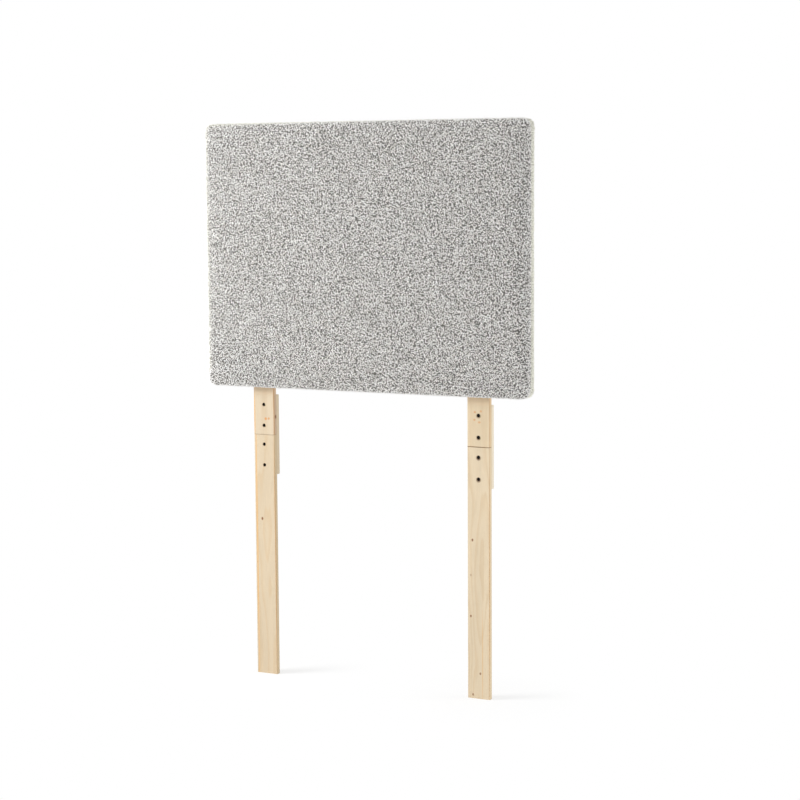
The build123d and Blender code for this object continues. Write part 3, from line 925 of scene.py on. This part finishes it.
def finish_with(material, *names):
    """Gives the material to solid pieces of the frame, which keep their shape."""
    for name in names:
        for slot in nodes[name].material_slots:
            slot.material = material
        print(name, "gets", material.name)


# %% [markdown]
# ## Marks on the struts
# Single marks make the struts look like the real ones: knots, streaks of resin, painted shade in
# the bolt holes with a painted glint of the insert behind them, painted shadow and highlight at
# the top of each stub, a darker line at the joint. Each is an ellipsoid in space that colours the
# wood wherever it cuts the surface, so that a knot at an edge shows on both faces. A mark is its
# centre and half sizes in mm, as x, y, z, wide, deep and tall, then its colour and how strong it is.

# %% Marks that each strut has
FACE_Y = 0.1
STUB_TOP = MIDDLE_Z - HEIGHT / 2
BOLT_Z = (560.2, 615.2, 665.2, 720.2)
JOINT_Z = 640.2
BROWN, ORANGE, RESIN, ARRIS = "7E4F2C", "CF8E52", "D9AC72", "C99A62"


def hole_marks(centre, heights, rim_shade, insert_glint=0.0):
    """Painted shade on the walls of bolt holes and round their rims, and, where given, a painted glint of
    the insert.
    """
    marks = ()
    for z in heights:
        # painted shade on the hole's wall and in a ring round its rim
        marks += ((centre, FACE_Y + 7, z, 6.5, 7.5, 6.5, "24160B", 1.0),
                  (centre, FACE_Y, z - 0.2 * rim_shade, rim_shade, 4, rim_shade, "5A3A22", 0.85))
        if insert_glint:
            # painted glint of the insert, on the face at the lower right of the hole
            marks += ((centre + 3.8, FACE_Y, z - 2.6, 2.6, 5, 3.0, "857B55", insert_glint),)
    return marks


def stub_marks(centre, arris, joint, rim_shade):
    """Painted shadow at the top, where the wood goes into the fabric, under a wider painted highlight that
    lifts the panel's shadow, arris on the right and edge at the joint.
    """
    return hole_marks(centre, BOLT_Z[2:], rim_shade, insert_glint=0.8) + (
        # painted highlight over the stub's top, which lifts the shadow of the panel above it
        (centre, 0, STUB_TOP - 8, 120, 90, 20, "FFDCB4", 0.25),
        # painted shadow where the wood goes into the fabric
        (centre, 0, STUB_TOP, 90, 60, 7, "A9794C", 0.5),
        (centre + 29.7, FACE_Y, STUB_TOP - 60, 1.3, 5, 160, "C08A50", arris),
        (centre, FACE_Y, JOINT_Z + 0.3, 60, 20, 1.9, "7A5936", joint))


# %% Marks of the left and the right strut
LEFT_STUB = stub_marks(-LEG_X, arris=0.6, joint=0.35, rim_shade=5.0) + (
    (-302.4, FACE_Y, 682.8, 4.2, 6, 4.4, ORANGE, 0.9),
    (-293.4, FACE_Y, 683.6, 3.6, 6, 3.8, ORANGE, 0.75),
    (-278.0, 10.0, 688.0, 6, 4.2, 6, BROWN, 1.0),
    (-335.6, FACE_Y, 690.0, 2.2, 12, 75, RESIN, 0.9),
)
LEFT_LEG = hole_marks(-LEG_X, BOLT_Z[:2], rim_shade=5.0) + (
    (-316.8, FACE_Y, 416.6, 3.4, 9, 5, BROWN, 0.95),
    (-332.9, FACE_Y, 299.4, 2.2, 6, 3.5, BROWN, 0.6),
    (-332.5, FACE_Y, 320.0, 2.6, 14, 460, RESIN, 0.8),
    (-278.6, FACE_Y, 320.0, 1.3, 5, 420, ARRIS, 0.6),
)
RIGHT_STUB = stub_marks(LEG_X, arris=0.25, joint=1.0, rim_shade=6.8) + (
    (298.4, FACE_Y, 727.9, 3.6, 6, 3.4, ORANGE, 0.65),
    (314.7, FACE_Y, 730.9, 3.6, 6, 3.4, ORANGE, 0.6),
    (297.2, FACE_Y, 708.8, 3.6, 6, 3.4, ORANGE, 0.6),
    (310.3, FACE_Y, 703.2, 4.6, 6, 3.4, ORANGE, 0.55),
)
RIGHT_LEG = hole_marks(LEG_X, BOLT_Z[:2], rim_shade=7.4) + (
    (291.3, FACE_Y, 405.4, 3, 8, 4.4, BROWN, 0.9),
    (286.7, FACE_Y, 315.9, 2.5, 6, 3.5, BROWN, 0.45),
    (286.4, FACE_Y, 210.9, 3, 7, 4, BROWN, 0.85),
    (312.1, FACE_Y, 65.4, 2.8, 7, 4, BROWN, 0.8),
    (292.0, FACE_Y, 9.8, 3, 7, 4.4, BROWN, 0.75),
    (318.4, FACE_Y, 110.0, 1.8, 12, 150, RESIN, 0.5),
    (337.4, FACE_Y, 320.0, 1.3, 5, 420, ARRIS, 0.6),
)

# %% Pine pieces
# The tints at the struts' edges are painted shade on their edges and side faces.
finish_with(pine("planed_pine_upright_left", "D1C0A6", "C4A374", pith=(-300, 110), contrast=0.2,
                 edge=-LEG_X, side_shade="F0E4DF", marks=LEFT_STUB), "upright_left")
finish_with(pine("planed_pine_upright_right", "DCC9AA", "C29F70", pith=(330, 105), contrast=0.15,
                 edge=LEG_X, side_shade="FFF8EE", marks=RIGHT_STUB), "upright_right")
finish_with(pine("planed_pine_leg_left", "D1BFA3", "C8A97D", pith=(-290, 120), ring_mm=3.8,
                 edge=-LEG_X, side_shade="FAF6EC", marks=LEFT_LEG), "lower_leg_left")
finish_with(pine("planed_pine_leg_right", "DDCBAE", "C8AA80", pith=(325, 125), ring_mm=3.6,
                 edge=LEG_X, side_shade="FFFEFA", marks=RIGHT_LEG), "lower_leg_right")
finish_with(pine("planed_pine_plate_left", "D4C3A7", "B9A37A", pith=(-270, 95), ring_mm=2.8),
            "splice_plate_left")
finish_with(pine("planed_pine_plate_right", "ECE1CB", "C4B28D", pith=(280, 90), ring_mm=3.0),
            "splice_plate_right")
SAWN = dict(spring="E2C89E", summer="C1935A", ring_mm=4.2, contrast=0.6, sawn=True)
finish_with(pine("sawn_pine_rails", along="x", pith=(1150, 140), **SAWN), "top_rail",
            "middle_rail", "bottom_rail_left", "bottom_rail_middle", "bottom_rail_right")
finish_with(pine("sawn_pine_stiles", along="z", pith=(20, 160), **SAWN), "end_stile_left",
            "end_stile_right")

# %% [markdown]
# ## Hardboard, steel and wire
# A thin hardboard closes the front of the frame under the foam. The plates are held by black
# zinc bolts with washers, which screw into threaded inserts in the struts. Staples are bent
# from galvanised wire. Each finish gets its own colour, gloss and fine relief.

# %% Hardboard
HARDBOARD_HONEY, HARDBOARD_DARK = "B48B5A", "7C5A36"
FELT_MM = 2.0

# Wet-pressed wood fibre: dark honey brown, with a felt of short fibres 2 mm long.
fibreboard, tree, place = start_material("pressed_hardboard")
felt = add(tree, "ShaderNodeTexNoise", {
    "Vector": place, "Scale": 1000 / FELT_MM, "Detail": 6.0, "Distortion": 2.5})
colour = add(tree, "ShaderNodeMix", {
    "Factor": felt.outputs["Fac"], "A": linear(HARDBOARD_DARK), "B": linear(HARDBOARD_HONEY)},
    data_type="RGBA")
end_material(tree, colour, felt.outputs["Fac"], relief_mm=0.15, strength=0.5, values={
    "Roughness": 0.55, "IOR": 1.5})
finish_with(fibreboard, "front_board")

# %% Steel
GLOSS_VARIES = 0.08


def metal(name, dark, light, roughness, speck_mm):
    """Metal with a coating whose colour and gloss vary in fine specks."""
    material, tree, place = start_material(name)
    specks = add(tree, "ShaderNodeTexNoise", {
        "Vector": place, "Scale": 1000 / speck_mm, "Detail": 3.0})
    colour = add(tree, "ShaderNodeMix", {
        "Factor": specks.outputs["Fac"], "A": linear(dark), "B": linear(light)}, data_type="RGBA")
    rough = add(tree, "ShaderNodeMapRange", {
        "Value": specks.outputs["Fac"], "From Min": 0.3, "From Max": 0.7,
        "To Min": roughness - GLOSS_VARIES, "To Max": roughness + GLOSS_VARIES})
    end_material(tree, colour, specks.outputs["Fac"], relief_mm=0.03, strength=0.5, values={
        "Metallic": 1.0, "Roughness": rough})
    return material


# Zinc, blackened: dark grey with a dull gloss. Galvanised wire: light grey, half dull.
finish_with(metal("black_zinc_steel", "232426", "3A3B3E", roughness=0.42, speck_mm=1.2),
            "splice_bolts", "splice_washers")
# The inserts are blackened in oil, which dries to a brown that is nearly black.
finish_with(metal("oil_blackened_steel", "150D07", "26180E", roughness=0.6, speck_mm=1.2),
            "threaded_inserts")
finish_with(metal("galvanised_wire", "8E9094", "B9BBBE", roughness=0.35, speck_mm=0.8),
            "cover_staples", "lining_staples", "board_staples", "frame_fasteners")
